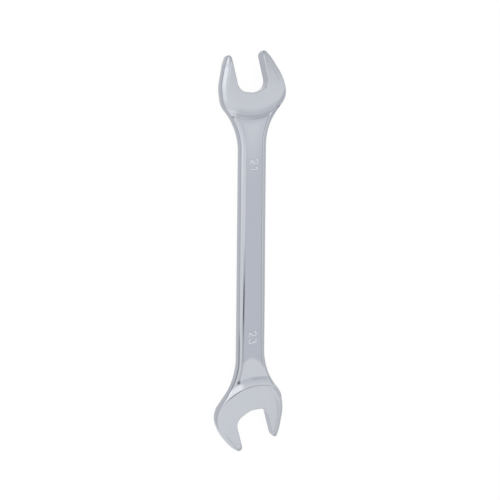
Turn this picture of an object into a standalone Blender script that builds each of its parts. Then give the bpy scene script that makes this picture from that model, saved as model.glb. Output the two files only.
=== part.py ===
# Double open end wrench for 21 mm and 23 mm hexagons, drop forged in one piece.
# It lies flat: X runs along the shank to the small jaw, Y across it and Z up.
# The origin is under the middle of its outline, on the surface that it rests on.

import math

import bmesh
import bpy
import numpy as np

mm = 0.001

# Jaws: the width across the flats of the hexagon that each one takes, and how
# far each jaw is turned from the shank.
small_jaw = 21 * mm
large_jaw = 23 * mm
jaw_angle = math.radians(15)

# Where the two hexagons sit: apart along the shank, and to either side of it.
nut_spacing = 223.6 * mm
nut_offset = 2.65 * mm

# Thicknesses: the ground heads, the rims of the shank and the web between them.
head_thickness = 7.2 * mm
rim_thickness = 5.8 * mm
web_thickness = 4.2 * mm

# Widths of the shank where it meets each neck.
small_shank_width = 17.8 * mm
large_shank_width = 18.8 * mm

# Rounding of the forged outside: how far it reaches in from the side and down
# from the face. The broached jaw only has its edges broken.
outside_round_in = 3.0 * mm
outside_round_down = 2.4 * mm
tip_round_in = 2.6 * mm
jaw_edge_break = 0.4 * mm
least_fillet = 0.2 * mm

# The step from a head's ground face down to the rims.
step_run = 2.4 * mm

# The sunk panel between the rims: the rim's width, the slope of the panel's
# sides and ends, and the land left between the step and the panel.
rim_width = 2.6 * mm
panel_side_run = 1.3 * mm
panel_end_run = 3.0 * mm
panel_land = 0.5 * mm

# Size numbers that stand up from the panel near each head.
numeral_height = 5.6 * mm
numeral_stroke = 1.2 * mm
numeral_relief = 0.3 * mm
numeral_gap = 1.2 * mm
numeral_root = 0.4 * mm
small_numeral_from_nut = 54.8 * mm
large_numeral_from_nut = 60.2 * mm
numeral_centre_y = -1.15 * mm

# Cutters run past what they cut by this much.
overrun = 1 * mm

# Each head's outline as shares of its jaw width: towards its fuller side, towards
# the opening, and the fillet's radius. The mouth is one jaw width wide.
small_head_corner_shares = (
    (1.061, -0.875, 0.60),
    (1.069, -0.329, 1.49),
    (0.812, 0.258, 0.90),
    (0.500, 0.700, 0.080),
    (0.500, -0.468, 0.285),
    (0.000, -0.600, 0.52),
    (-0.500, -0.468, 0.285),
    (-0.500, 0.722, 0.068),
    (-0.770, 0.335, 0.90),
    (-1.038, -0.227, 1.08),
    (-1.104, -0.748, 0.60),
)
large_head_corner_shares = (
    (1.032, -0.875, 0.60),
    (1.040, -0.329, 1.49),
    (0.785, 0.252, 0.90),
    (0.500, 0.545, 0.085),
    (0.500, -0.468, 0.285),
    (0.000, -0.600, 0.52),
    (-0.500, -0.468, 0.285),
    (-0.500, 0.590, 0.058),
    (-0.745, 0.318, 0.90),
    (-1.009, -0.227, 1.08),
    (-1.073, -0.748, 0.60),
)
# The kind of edge that leaves each of those corners.
head_edge_kinds = (
    "outside",
    "outside",
    "tip",
    "jaw",
    "jaw",
    "jaw",
    "jaw",
    "tip",
    "outside",
    "outside",
    "outside",
)
# Points on each corner's arc.
head_arc_points = (7, 7, 5, 4, 7, 5, 7, 4, 5, 7, 7)

# Where the neck's fillet starts on the fuller and on the slimmer side, from the
# hexagon's middle back along the shank, and its radii, in jaw widths.
neck_start_shares = (1.485, 1.607)
neck_radius_shares = (1.67, 1.65)
neck_arc_points = 8

# The arc that ends each ground face at the neck: its middle, towards the head's
# end and to the left of it, and its radius, in jaw widths.
small_face_arc_shares = (0.53, 0.14, 1.70)
large_face_arc_shares = (0.13, 0.05, 1.37)
face_arc_half_angle = math.radians(55)
face_arc_points = 22

# Of the room on its edge, what a fillet takes at most, so that no two share a point.
fillet_reach_share = 0.998

rounding_levels = 4
numeral_arc_points = 7

# Centre lines of the digits as shares of their height, each as corner points
# with a fillet share: across, up, radius.
digit_shares = {
    "1": ((0.06, 0.76, 0), (0.30, 0.94, 0), (0.30, 0.07, 0)),
    "2": (
        (0.06, 0.72, 0),
        (0.06, 0.93, 0.20),
        (0.56, 0.93, 0.20),
        (0.56, 0.56, 0.26),
        (0.08, 0.07, 0),
        (0.60, 0.07, 0),
    ),
    "3": (
        (0.06, 0.93, 0),
        (0.56, 0.93, 0),
        (0.26, 0.58, 0),
        (0.58, 0.58, 0.22),
        (0.58, 0.07, 0.24),
        (0.06, 0.07, 0.24),
        (0.06, 0.25, 0),
    ),
}
digit_width_shares = {"1": 0.36, "2": 0.66, "3": 0.64}


def clear_scene():
    for thing in list(bpy.data.objects):
        bpy.data.objects.remove(thing, do_unlink=True)


def turned(vector, angle):
    """The vector turned anticlockwise by the angle."""
    c, s = math.cos(angle), math.sin(angle)
    return np.array([c * vector[0] - s * vector[1], s * vector[0] + c * vector[1]])


def meeting_point(start_a, along_a, start_b, along_b):
    """Where two lines meet, each given by a point and a direction."""
    shares = np.linalg.solve(np.column_stack([along_a, -along_b]), start_b - start_a)
    return start_a + along_a * shares[0]


def filleted(corners, radii, counts, closed=True):
    """Corner points with each corner replaced by an arc of as many points.

    Where two fillets don't fit on the edge between them, both are shortened.
    """
    corners = np.asarray(corners, float)
    total = len(corners)
    inner = range(total) if closed else range(1, total - 1)
    reach = np.zeros(total)
    half_turn = np.zeros(total)
    for i in inner:
        back = corners[i - 1] - corners[i]
        ahead = corners[(i + 1) % total] - corners[i]
        cosine = back @ ahead / (np.linalg.norm(back) * np.linalg.norm(ahead))
        half_turn[i] = (math.pi - math.acos(np.clip(cosine, -1, 1))) / 2
        reach[i] = radii[i] * math.tan(half_turn[i])
    limit = np.ones(total)
    for i in range(total if closed else total - 1):
        j = (i + 1) % total
        room = np.linalg.norm(corners[j] - corners[i])
        wanted = reach[i] + reach[j]
        if wanted > room:
            limit[i] = min(limit[i], room / wanted)
            limit[j] = min(limit[j], room / wanted)
    points = []
    for i in range(total):
        if i not in inner or reach[i] == 0:
            points.append(corners[i])
            continue
        back = corners[i - 1] - corners[i]
        ahead = corners[(i + 1) % total] - corners[i]
        back = back / np.linalg.norm(back)
        ahead = ahead / np.linalg.norm(ahead)
        length = reach[i] * limit[i] * fillet_reach_share
        radius = length / math.tan(half_turn[i])
        middle = back + ahead
        middle = corners[i] + middle / np.linalg.norm(middle) * radius / math.cos(half_turn[i])
        start = corners[i] + back * length - middle
        turn = 2 * half_turn[i] * np.sign(back[1] * ahead[0] - back[0] * ahead[1])
        for step in np.linspace(0, turn, counts[i]):
            points.append(middle + turned(start, step))
    return np.array(points)


def inset_corners(corners, amounts):
    """Corners of the outline whose every edge has moved in by its own amount."""
    corners = np.asarray(corners, float)
    total = len(corners)
    along = np.roll(corners, -1, axis=0) - corners
    along /= np.linalg.norm(along, axis=1)[:, None]
    inward = np.column_stack([-along[:, 1], along[:, 0]])
    starts = corners + inward * np.asarray(amounts)[:, None]
    return np.array([
        meeting_point(starts[i - 1], along[i - 1], starts[i], along[i]) for i in range(total)
    ])


def inset_radii(corners, radii, amounts):
    """Fillets of the inset outline: smaller on outward corners, larger on inward ones."""
    corners = np.asarray(corners, float)
    result = []
    for i, radius in enumerate(radii):
        back = corners[i] - corners[i - 1]
        ahead = corners[(i + 1) % len(corners)] - corners[i]
        outward = back[0] * ahead[1] - back[1] * ahead[0] > 0
        pair = (amounts[i - 1], amounts[i])
        result.append(max(radius - min(pair), least_fillet) if outward else radius + sum(pair) / 2)
    return result


def head_corners(jaw, corner_shares, towards, middle, shank_width):
    """A head's corners, radii, edge kinds and arc counts, from neck to neck.

    towards is 0 for the head at +X and pi for the head at -X. The list runs
    anticlockwise from the neck on the fuller side to the one on the slimmer.
    """
    opening = turned((1, 0), towards + jaw_angle)
    fuller = turned(opening, -math.pi / 2)
    back = turned((-1, 0), towards)
    side = turned((0, 1), towards)
    neck = []
    for sign, start in zip((-1, 1), neck_start_shares):
        along = middle * np.array([1, 0]) + back * start * jaw
        neck.append(along + sign * side * shank_width / 2)
    corners = [neck[0]]
    for across, ahead, _ in corner_shares:
        corners.append(middle + (fuller * across + opening * ahead) * jaw)
    corners.append(neck[1])
    radii = [neck_radius_shares[0] * jaw]
    radii += [share * jaw for _, _, share in corner_shares]
    radii.append(neck_radius_shares[1] * jaw)
    kinds = ["outside", *head_edge_kinds, "outside"]
    counts = [neck_arc_points, *head_arc_points, neck_arc_points]
    return corners, radii, kinds, counts


def wrench_outline():
    """Corners, radii, edge kinds and arc counts of the whole outline, and the hexagons' middles."""
    small_middle = np.array([nut_spacing / 2, nut_offset])
    large_middle = -small_middle
    small = head_corners(small_jaw, small_head_corner_shares, 0, small_middle, small_shank_width)
    large = head_corners(large_jaw, large_head_corner_shares, math.pi, large_middle, large_shank_width)
    corners, radii, kinds, counts = (list(a) + list(b) for a, b in zip(small, large))
    drawn = filleted(corners, radii, counts)
    centre = (drawn.max(axis=0) + drawn.min(axis=0)) / 2
    corners = np.array(corners) - centre
    return corners, radii, kinds, counts, small_middle - centre, large_middle - centre


def add_rings(mesh, rings):
    """Joins rings of the same count, lowest first, into one closed body with flat ends."""
    made = [[mesh.verts.new(point) for point in ring] for ring in rings]
    for below, above in zip(made, made[1:]):
        for i in range(len(below)):
            j = (i + 1) % len(below)
            mesh.faces.new((below[i], below[j], above[j], above[i]))
    mesh.faces.new(reversed(made[0]))
    mesh.faces.new(made[-1])


def at_height(points, height):
    return np.column_stack([points, np.full(len(points), height)])


def new_object(name, mesh):
    mesh.normal_update()
    data = bpy.data.meshes.new(name)
    mesh.to_mesh(data)
    mesh.free()
    thing = bpy.data.objects.new(name, data)
    bpy.context.scene.collection.objects.link(thing)
    return thing


def helper_object(name, mesh):
    """A body that only shapes another one."""
    thing = new_object(name, mesh)
    thing.hide_render = True
    thing.display_type = "WIRE"
    return thing


def add_boolean(thing, other, operation):
    step = thing.modifiers.new(other.name, "BOOLEAN")
    step.operation = operation
    step.object = other
    step.solver = "EXACT"


def forging_blank(outline):
    """The full outline at head thickness, with rounded outsides and crisp jaws."""
    corners, radii, kinds, counts = outline
    reach_in = {"outside": outside_round_in, "tip": tip_round_in, "jaw": jaw_edge_break}
    reach_down = {"outside": outside_round_down, "tip": outside_round_down, "jaw": jaw_edge_break}
    downs = [(reach_down[kinds[i - 1]] + reach_down[kinds[i]]) / 2 for i in range(len(kinds))]
    downs = np.repeat(downs, counts)
    half = head_thickness / 2
    top = []
    for level in range(rounding_levels + 1):
        angle = math.pi / 2 * level / rounding_levels
        amounts = [reach_in[kind] * (1 - math.cos(angle)) for kind in kinds]
        ring = filleted(inset_corners(corners, amounts), inset_radii(corners, radii, amounts), counts)
        top.append(np.column_stack([ring, half - downs * (1 - math.sin(angle))]))
    bottom = [ring * np.array([1, 1, -1]) for ring in reversed(top)]
    mesh = bmesh.new()
    add_rings(mesh, [ring + np.array([0, 0, half]) for ring in bottom + top])
    return new_object("forged_body", mesh)


def face_arc(middle, jaw, shares, towards, extra):
    """Points of the arc that ends a ground face, grown by extra, from its left to its right."""
    centre = middle + turned((shares[0] * jaw, shares[1] * jaw), towards)
    radius = shares[2] * jaw + extra
    angles = np.linspace(-face_arc_half_angle, face_arc_half_angle, face_arc_points)
    return np.array([centre + radius * turned((-1, 0), towards + angle) for angle in angles])


def step_cutter(small_middle, large_middle):
    """What is ground away between the two heads, above and below the rims.

    Each level's outline is the two face arcs joined by straight sides. The arcs
    grow towards the rims, which makes the step a slope.
    """
    half = head_thickness / 2
    rim = rim_thickness / 2
    slope = step_run / (half - rim)
    mesh = bmesh.new()
    for side in (1, -1):
        rings = []
        for height, extra in ((rim, step_run), (half + overrun, -slope * overrun)):
            small = face_arc(small_middle, small_jaw, small_face_arc_shares, 0, extra)
            large = face_arc(large_middle, large_jaw, large_face_arc_shares, math.pi, extra)
            small[0, 1] += overrun
            small[-1, 1] -= overrun
            large[0, 1] -= overrun
            large[-1, 1] += overrun
            ring = np.vstack([small, large])[::-1]
            rings.append(at_height(ring, half + side * height))
        add_rings(mesh, rings if side == 1 else rings[::-1])
    return helper_object("step_cutter", mesh)


def circle_crossing(centre_a, radius_a, centre_b, radius_b, near):
    """Of the two points where two circles cross, the one closer to near."""
    apart = np.linalg.norm(centre_b - centre_a)
    along = (centre_b - centre_a) / apart
    reach = (apart * apart + radius_a * radius_a - radius_b * radius_b) / (2 * apart)
    rise = math.sqrt(max(radius_a * radius_a - reach * reach, 0))
    across = np.array([-along[1], along[0]])
    found = [centre_a + along * reach + across * sign * rise for sign in (-1, 1)]
    return min(found, key=lambda point: np.linalg.norm(point - near))


def fillet_circle(before, corner, after, radius):
    """The middle of a corner's fillet, and where it starts on the edge from before."""
    back = (before - corner) / np.linalg.norm(before - corner)
    ahead = (after - corner) / np.linalg.norm(after - corner)
    half_turn = (math.pi - math.acos(np.clip(back @ ahead, -1, 1))) / 2
    middle = (back + ahead) / np.linalg.norm(back + ahead)
    return corner + middle * radius / math.cos(half_turn), corner + back * radius * math.tan(half_turn)


def arc_between(centre, start, end, count):
    """Points on the shorter arc round the centre."""
    first = math.atan2(*(start - centre)[::-1])
    last = math.atan2(*(end - centre)[::-1])
    sweep = (last - first + math.pi) % (2 * math.pi) - math.pi
    radius = np.linalg.norm(start - centre)
    angles = first + sweep * np.linspace(0, 1, count)
    return centre + radius * np.column_stack([np.cos(angles), np.sin(angles)])


def panel_ring(outline, middles, grow, end_extra):
    """The sunk panel's outline: the shank's and necks' edges moved in, closed by two arcs."""
    corners, radii, *_ = outline
    amounts = [rim_width + grow] * len(corners)
    inner = inset_corners(corners, amounts)
    inner_radii = inset_radii(corners, radii, amounts)
    heads = (
        (middles[0], small_jaw, small_face_arc_shares, 0),
        (middles[1], large_jaw, large_face_arc_shares, math.pi),
    )
    per_head = len(corners) // 2
    points = []
    for number, (middle, jaw, shares, towards) in enumerate(heads):
        first = number * per_head
        last = first + per_head - 1
        centre = middle + turned((shares[0] * jaw, shares[1] * jaw), towards)
        radius = shares[2] * jaw + end_extra
        necks = []
        for neck, step in ((first, 1), (last, -1)):
            beyond = inner[(neck - step) % len(inner)]
            round_middle, start = fillet_circle(beyond, inner[neck], inner[neck + step], inner_radii[neck])
            end = circle_crossing(round_middle, inner_radii[neck], centre, radius, inner[neck])
            necks.append(arc_between(round_middle, start, end, neck_arc_points))
        points.append(necks[0])
        points.append(arc_between(centre, necks[0][-1], necks[1][-1], face_arc_points)[1:-1])
        points.append(necks[1][::-1])
    return np.vstack(points)


def panel_cutter(outline, middles):
    """The sunk panel on both faces, with sloped sides and ends."""
    half = head_thickness / 2
    rim = rim_thickness / 2
    web = web_thickness / 2
    foot = step_run + panel_land
    floor_ring = panel_ring(outline, middles, panel_side_run, foot + panel_end_run)
    brim_ring = panel_ring(outline, middles, 0, foot)
    levels = ((floor_ring, web), (brim_ring, rim), (brim_ring, half + overrun))
    mesh = bmesh.new()
    for side in (1, -1):
        rings = [at_height(ring, half + side * height) for ring, height in levels]
        add_rings(mesh, rings if side == 1 else rings[::-1])
    return helper_object("panel_cutter", mesh)


def stroke_outline(digit, height):
    """The outline of a digit's single stroke, from its centre line."""
    shares = digit_shares[digit]
    corners = [np.array([across, up]) * height for across, up, _ in shares]
    radii = [share * height for _, _, share in shares]
    counts = [numeral_arc_points] * len(shares)
    line = filleted(corners, radii, counts, closed=False)
    along = np.diff(line, axis=0)
    along /= np.linalg.norm(along, axis=1)[:, None]
    left = np.column_stack([-along[:, 1], along[:, 0]])
    sides = []
    for sign in (1, -1):
        moved = [line[0] + left[0] * sign * numeral_stroke / 2]
        for i in range(1, len(line) - 1):
            mitre = left[i - 1] + left[i]
            mitre /= 1 + left[i - 1] @ left[i]
            moved.append(line[i] + mitre * sign * numeral_stroke / 2)
        moved.append(line[-1] + left[-1] * sign * numeral_stroke / 2)
        sides.append(np.array(moved))
    return np.vstack([sides[1], sides[0][::-1]])


def add_numeral(mesh, text, middle, face):
    """A number that reads along the shank, on the top face (1) or the under face (-1)."""
    widths = [digit_width_shares[digit] * numeral_height for digit in text]
    start = -(sum(widths) + numeral_gap * (len(text) - 1)) / 2
    half = head_thickness / 2
    web = web_thickness / 2
    for digit, width in zip(text, widths):
        outline = stroke_outline(digit, numeral_height)
        outline = outline + np.array([start, -numeral_height / 2])
        # The number reads from the small head to the large one, with its foot at +Y on top.
        placed = middle + outline * np.array([-1, -face])
        ring = placed if face == 1 else placed[::-1]
        low = half + face * (web - numeral_root)
        high = half + face * (web + numeral_relief)
        rings = [at_height(ring, low), at_height(ring, high)]
        add_rings(mesh, rings if face == 1 else rings[::-1])
        start += width + numeral_gap


def size_numerals(small_middle, large_middle):
    mesh = bmesh.new()
    for face in (1, -1):
        small_place = np.array([small_middle[0] - small_numeral_from_nut, numeral_centre_y])
        large_place = np.array([large_middle[0] + large_numeral_from_nut, numeral_centre_y])
        add_numeral(mesh, "21", small_place, face)
        add_numeral(mesh, "23", large_place, face)
    return helper_object("size_numerals", mesh)


def chrome_plate():
    """Polished chrome on steel."""
    material = bpy.data.materials.new("chrome_plate")
    material.use_nodes = True
    shader = material.node_tree.nodes["Principled BSDF"]
    shader.inputs["Base Color"].default_value = (0.62, 0.64, 0.68, 1)
    shader.inputs["Metallic"].default_value = 1
    shader.inputs["Roughness"].default_value = 0.22
    return material


def main():
    clear_scene()
    *outline, small_middle, large_middle = wrench_outline()
    body = forging_blank(outline)
    add_boolean(body, step_cutter(small_middle, large_middle), "DIFFERENCE")
    add_boolean(body, panel_cutter(outline, (small_middle, large_middle)), "DIFFERENCE")
    add_boolean(body, size_numerals(small_middle, large_middle), "UNION")
    body.data.materials.append(chrome_plate())
    body.data.shade_smooth()
    body.data.set_sharp_from_angle(angle=math.radians(28))


main()
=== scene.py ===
# Looks of a double open end wrench for 21 and 23 mm hexagons, drop forged and chrome plated.
# X runs along the shank to the small jaw, Y across it and Z up from the table.
import math

import bpy
import numpy as np
from mathutils import Matrix, Vector


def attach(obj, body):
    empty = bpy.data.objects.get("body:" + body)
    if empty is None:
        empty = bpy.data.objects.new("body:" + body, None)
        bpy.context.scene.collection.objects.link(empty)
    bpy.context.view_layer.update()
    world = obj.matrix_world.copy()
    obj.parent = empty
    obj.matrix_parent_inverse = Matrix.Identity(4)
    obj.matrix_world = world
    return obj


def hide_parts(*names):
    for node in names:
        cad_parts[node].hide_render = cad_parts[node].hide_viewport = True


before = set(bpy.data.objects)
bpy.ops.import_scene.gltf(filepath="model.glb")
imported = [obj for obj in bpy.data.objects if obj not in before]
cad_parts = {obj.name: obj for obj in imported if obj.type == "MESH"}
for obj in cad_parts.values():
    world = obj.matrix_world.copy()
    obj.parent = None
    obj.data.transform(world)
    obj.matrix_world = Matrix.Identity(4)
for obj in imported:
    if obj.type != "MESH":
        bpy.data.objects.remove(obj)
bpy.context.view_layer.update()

mm = 0.001
tiny = 1e-6  # stands in for zero where a length or a slope is divided by
print("frame loaded:", sorted(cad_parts))


# The forging's outline. Lengths in mm, angles in degrees.
outlineValues = {
    "jawWidths": (21.0, 23.0),  # small head, large head
    "jawAngle": 15.0,
    "nutSpacing": 223.6,
    "nutOffset": 2.65,
    "shankWidths": (17.8, 18.8),
    "leastFillet": 0.2,
    "arcShare": 0.998,  # of its full length that each fillet gets, so that no two touch
    # Each head's corners in jaw widths: towards the fuller side, towards the opening, fillet.
    "smallHeadShares": (
        (1.061, -0.875, 0.60),
        (1.069, -0.329, 1.49),
        (0.812, 0.258, 0.90),
        (0.500, 0.700, 0.080),
        (0.500, -0.468, 0.285),
        (0.000, -0.600, 0.52),
        (-0.500, -0.468, 0.285),
        (-0.500, 0.722, 0.068),
        (-0.770, 0.335, 0.90),
        (-1.038, -0.227, 1.08),
        (-1.104, -0.748, 0.60),
    ),
    "largeHeadShares": (
        (1.032, -0.875, 0.60),
        (1.040, -0.329, 1.49),
        (0.785, 0.252, 0.90),
        (0.500, 0.545, 0.085),
        (0.500, -0.468, 0.285),
        (0.000, -0.600, 0.52),
        (-0.500, -0.468, 0.285),
        (-0.500, 0.590, 0.058),
        (-0.745, 0.318, 0.90),
        (-1.009, -0.227, 1.08),
        (-1.073, -0.748, 0.60),
    ),
    "neckStartShares": (1.485, 1.607),
    "neckRadiusShares": (1.67, 1.65),
    # The arc that ends each ground face: its middle and its radius, in jaw widths.
    "faceArcShares": ((0.53, 0.14, 1.70), (0.13, 0.05, 1.37)),
}
# The kind of edge that leaves each corner of a head, from neck to neck. The sides at -Y were
# hardly ground.
edgeKinds = ("neck", "plain", "plain", "tip", "jaw", "jaw", "jaw", "jaw", "tip",
             "side", "side", "neck", "shank",
             "neck", "side", "side", "tip", "jaw", "jaw", "jaw", "jaw", "tip",
             "plain", "plain", "neck", "shank")

# Heights are measured from the middle plane, and lengths in from the outline. Where two values stand
# together without a note, the first is for the small head and the second for the large one.
reliefValues = {
    "headHalf": 3.6,
    "rimHalf": 2.9,
    "webHalf": 2.1,
    "sideRound": 3.6,  # how far in the grinding reaches from a side, and from a tip
    "tipRound": 2.2,
    "cornerRound": 1.6,  # the wall turns into the ground slope within this
    "tipCorner": 0.8,
    "cornerBlend": 0.35,
    "sideFall": 1.25,  # how far the ground slope drops, and how its steepness grows
    "tipFall": 0.9,
    "plainFall": 0.22,
    "fallPower": 1.5,
    "jawBreak": 0.50,  # how far in the mouth's edges are broken, and their rise per mm
    "jawBreakClimb": 0.50,
    "jawBreakRise": 1.25,  # the break climbs past the face by this factor, and is cut off softly there
    "jawBreakBlend": 0.08,
    "shoulderRun": 0.80,  # the small steep wall that the grinding left round the large face
    "shoulderDrops": (0.0, 0.66),
    "shoulderDeeper": (7.0, 15.0, 0.36),  # from this Y to this Y the large head's deepens by this
    "shoulderSoftness": 0.4,
    "stepRun": 2.4,  # from the face down to the rim, with the shoulder
    "stepSoftness": 0.45,
    # Where the large head's face meets the rim at +Y the slope is longer and lower: from this Y over
    # this run the drop gains and the slope gains this much, and the rim rises again within the last
    # length.
    "cornerFrom": -2.0,
    "cornerRun": 9.0,
    "cornerDrop": 0.60,
    "cornerStep": 1.6,
    "cornerRise": 12.0,
    "rimPlaces": (-75.0, -15.0),  # X of the two widths: the rim narrows towards the large head
    "rimWidths": (1.95, 2.5),
    "rimFall": 0.6,  # the rim slopes outwards from its inner edge, more and more
    "rimFallPowers": (1.4, 1.0),  # at +Y, at -Y
    "rimBlend": 0.30,  # softness of the rim's outer corner
    "panelSideRuns": (1.9, 0.9),  # at +Y, at -Y
    "panelSideSoftness": 0.2,
    "panelEndRuns": (3.0, 2.8),
    "panelEndSoftness": 0.22,
    "panelLands": (-0.9, 0.8),  # from the step's foot to the panel
    "rampRun": 12.0,  # the panel's floor climbs gently towards each head
    "rampRise": 0.02,
    "rampSoftness": 0.08,
}

# How fine the mesh is. Lengths in mm.
gridValues = {
    "roundLevels": 24,  # rings over the rounding, and from there to the last ring
    "panelLevels": 9,
    "wallLevels": 8,  # the rings that make up the side wall
    "shadeLineRings": (1.8, 3.3),  # the painted dark reflection above the wall is full up to this many rings from there, and gone at this many
    "blendLevels": 4,  # the corner's softness grows over this many rings
    "ringPower": 1.7,  # rings lie closer together towards the outline
    "jawRingPower": 1.3,
    "middleLevelShare": 0.6,  # the ring whose lengths space the lines of all rings at the heads
    "panelReach": 4.8,  # from the outline to the last ring along the shank, a side and a jaw's chamfer
    "sideReach": 3.9,
    "jawReach": 0.1,
    "farInset": 99.0,  # stands for the inset of every point within the last ring
    "crossSteps": 12,
    "jawSteps": 56,
    "fanSteps": 10,
    "blendSteps": 12,
    "shankSteps": 84,
    "shankStraight": (56.0, -52.0),  # X between which the cross lines run straight
    "beforeFace": -0.25,  # where the first line along a face arc runs
    "arcSteps": (5, 24, 9, 5),  # lines over the shoulder, down to the floor, up its ramp, at its top
    "rampShares": (0.9, 1.02),
    "neckReach": 1.2,  # places past the necks' within which the straight lines may meet the outline
    "outlineSamples": 6000,
    "pathSamples": 600,
    "crossSamples": 3000,
    "spineSamples": 2000,
}


def turned(points, angle):
    # Each point turned anticlockwise about the origin: (c x - s y, s x + c y).
    c, s = math.cos(angle), math.sin(angle)
    return np.asarray(points, float) @ np.array([[c, s], [-s, c]])


def unit(vectors):
    # The same directions at length 1. A vector without a length stays as it is.
    lengths = np.linalg.norm(vectors, axis=-1, keepdims=True)
    return vectors / np.where(lengths > 0, lengths, 1)


def filletPath(corners, radii):
    # Each corner becomes an arc of radius r that touches both edges, so it starts r tan(turn / 2)
    # before the corner. Where two arcs don't fit on an edge, both shrink by the same factor, and all
    # arcs are a hair shorter, so that a straight run is left between them.
    back = unit(np.roll(corners, 1, axis=0) - corners)
    ahead = unit(np.roll(corners, -1, axis=0) - corners)
    halfTurn = (math.pi - np.arccos(np.clip((back * ahead).sum(1), -1, 1))) / 2
    reach = radii * np.tan(halfTurn)
    room = np.linalg.norm(np.roll(corners, -1, axis=0) - corners, axis=1)
    squeeze = np.minimum(1, room / np.maximum(reach + np.roll(reach, -1), tiny))
    length = reach * np.minimum(squeeze, np.roll(squeeze, 1)) * outlineValues["arcShare"]
    radius = length / np.maximum(np.tan(halfTurn), tiny)
    centre = corners + unit(back + ahead) * (radius / np.cos(halfTurn))[:, None]
    first = corners + back * length[:, None]
    last = corners + ahead * length[:, None]
    side = np.sign(back[:, 1] * ahead[:, 0] - back[:, 0] * ahead[:, 1])
    offset = first - centre
    return {"centre": centre, "radius": radius, "first": first, "last": last,
            "start": np.arctan2(offset[:, 1], offset[:, 0]), "sweep": 2 * halfTurn * side}


def pathPoints(path, u):
    # Points at the places u: from 2c to 2c + 1 lies corner c's arc, then the straight run to the next.
    count = len(path["radius"])
    corner = np.floor(u / 2).astype(int) % count
    share = np.mod(u, 2)
    angle = path["start"][corner] + path["sweep"][corner] * np.minimum(share, 1)
    round_ = np.stack([np.cos(angle), np.sin(angle)], -1) * path["radius"][corner][..., None]
    round_ = round_ + path["centre"][corner]
    along = np.clip(share - 1, 0, 1)[..., None]
    straight = path["last"][corner] * (1 - along) + path["first"][(corner + 1) % count] * along
    return np.where((share <= 1)[..., None], round_, straight)


def edgeAmounts(u, amounts):
    # The amount that belongs to each edge, shared linearly between two edges round a corner.
    corner = np.floor(u / 2).astype(int) % len(amounts)
    share = np.minimum(np.mod(u, 2), 1)
    return amounts[corner - 1] * (1 - share) + amounts[corner] * share


def insetPath(corners, radii, amounts):
    # Every edge moves inwards by its own amount. An outward corner's fillet shrinks by the smaller of
    # its edges' amounts, and an inward one's grows by their mean.
    along = unit(np.roll(corners, -1, axis=0) - corners)
    inward = np.stack([-along[:, 1], along[:, 0]], 1)
    start = corners + inward * amounts[:, None]
    before, beforeAlong = np.roll(start, 1, axis=0), np.roll(along, 1, axis=0)
    gap = start - before
    cross = beforeAlong[:, 0] * along[:, 1] - beforeAlong[:, 1] * along[:, 0]
    share = (gap[:, 0] * along[:, 1] - gap[:, 1] * along[:, 0]) / cross
    moved = before + beforeAlong * share[:, None]
    least, mean = np.minimum(amounts, np.roll(amounts, 1)), (amounts + np.roll(amounts, 1)) / 2
    grown = np.where(cross > 0, np.maximum(radii - least, outlineValues["leastFillet"]), radii + mean)
    return filletPath(moved, grown)


def wrenchCorners():
    # Both heads' corners, with the drawn outline's box centred on the origin.
    v = outlineValues
    corners, radii, middles = [], [], []
    headShares = (v["smallHeadShares"], v["largeHeadShares"])
    for towards, jaw, shares, width in zip((0, math.pi), v["jawWidths"], headShares, v["shankWidths"]):
        middle = turned((v["nutSpacing"] / 2, v["nutOffset"]), towards)
        opening = turned((1, 0), towards + math.radians(v["jawAngle"]))
        fuller = turned(opening, -math.pi / 2)
        shares = np.array(shares)
        head = middle + (shares[:, :1] * fuller + shares[:, 1:2] * opening) * jaw
        neck = [turned((abs(middle[0]) - start * jaw, sign * width / 2), towards)
                for sign, start in zip((-1, 1), v["neckStartShares"])]
        corners += [neck[0], *head, neck[1]]
        radii += [v["neckRadiusShares"][0] * jaw, *(shares[:, 2] * jaw), v["neckRadiusShares"][1] * jaw]
        middles.append(middle)
    corners, radii, middles = np.array(corners), np.array(radii), np.array(middles)
    places = np.linspace(0, 2 * len(corners), gridValues["outlineSamples"])
    drawn = pathPoints(filletPath(corners, radii), places)
    centre = (drawn.max(0) + drawn.min(0)) / 2
    return corners - centre, radii, middles - centre


def faceArcs(middles):
    # Middle and radius of the arc that ends each head's ground face.
    arcs = []
    for middle, jaw, shares, towards in zip(
            middles, outlineValues["jawWidths"], outlineValues["faceArcShares"], (0, math.pi)):
        arcs.append((middle + turned(np.array(shares[:2]) * jaw, towards), shares[2] * jaw))
    return arcs


def easedRamp(x, softness=0.5):
    # Rises from 0 to 1 as x does: a parabola, a straight slope and a parabola. The parabolas take up
    # the softness at each end.
    x = np.clip(x, 0, 1)
    low = x * x / (2 * softness * (1 - softness))
    high = 1 - (1 - x) ** 2 / (2 * softness * (1 - softness))
    line = (x - softness / 2) / (1 - softness)
    return np.where(x < softness, low, np.where(x > 1 - softness, high, line))


def softMin(a, b, width):
    # The lower of the two, rounded over where they lie within the width of each other.
    width = np.maximum(width, tiny)
    near = np.clip(1 - np.abs(a - b) / width, 0, 1)
    return np.minimum(a, b) - near * near * width / 4


def pastFace(points, arcs):
    # How far each point lies beyond the face arc of the head on its side of the middle.
    small, large = (np.linalg.norm(points - centre, axis=-1) - radius for centre, radius in arcs)
    return np.where(points[..., 0] > 0, small, large)


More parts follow.
